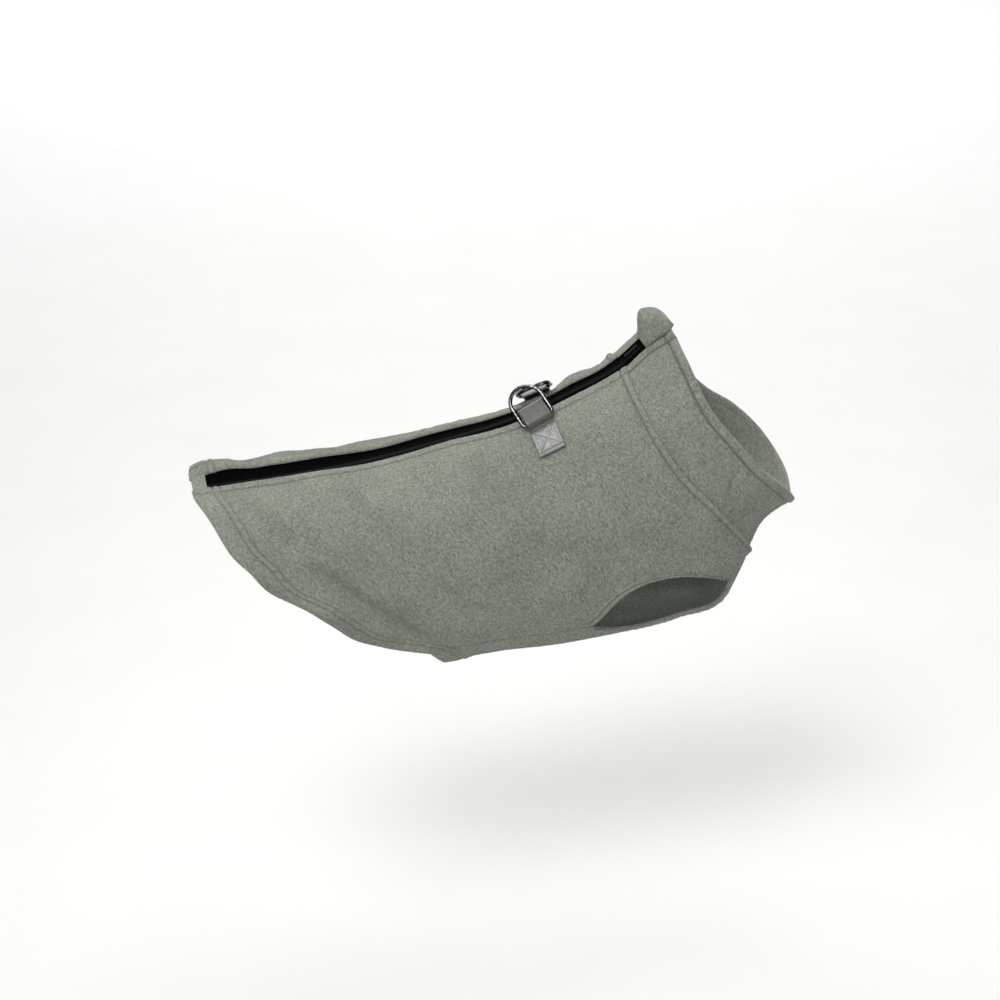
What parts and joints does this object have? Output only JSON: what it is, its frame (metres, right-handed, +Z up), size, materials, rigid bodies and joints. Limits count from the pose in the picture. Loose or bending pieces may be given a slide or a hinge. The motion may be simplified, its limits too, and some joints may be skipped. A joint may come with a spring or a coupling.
{
  "type": "dog fleece vest",
  "caption": "Sleeveless sage fleece dog vest worn on a hollow body, with a turned collar, back zip, open armholes and webbing D-ring tabs.",
  "frame": {"origin": "where the wearer's back holds the vest, just under the zip at the shoulder rings, on the centre plane", "axes": "+X towards the collar, +Y towards the wearer's left, +Z up out of the back"},
  "size_m": [0.4305, 0.14, 0.2458],
  "materials": {
    "fleece": "sage grey-green polar fleece, matt, short pebbled nap",
    "zip_nylon": "black woven zip tape with a nylon coil under it",
    "slider_metal": "black enamelled slider",
    "webbing": "silver grey flat webbing, satin",
    "ring_metal": "dark nickel plated steel wire, polished"
  },
  "bodies": {
    "vest": {"back_right": "fleece", "back_left": "fleece", "chest_belly": "fleece", "collar": "fleece", "zip_tape_right": "zip_nylon", "zip_tape_left": "zip_nylon", "zip_chain": "zip_nylon", "zip_slider": "slider_metal", "zip_end_tab": "fleece", "zip_garage": "fleece", "tab_right": "webbing", "tab_left": "webbing"},
    "d_ring_right": {"ring_right": "ring_metal"},
    "d_ring_left": {"ring_left": "ring_metal"}
  },
  "joints": [
    {"name": "ring_right_hinge", "type": "hinge", "parent": "vest", "child": "d_ring_right", "pos_m": [-0.00644, -0.02386, 0.00122], "axis": [0.9121, 0.1517, 0.3809], "range_deg": [0, 140]},
    {"name": "ring_left_hinge", "type": "hinge", "parent": "vest", "child": "d_ring_left", "pos_m": [0.00217, 0.02292, 0.00378], "axis": [-0.9029, 0.1519, -0.4021], "range_deg": [0, 140]}
  ]
}
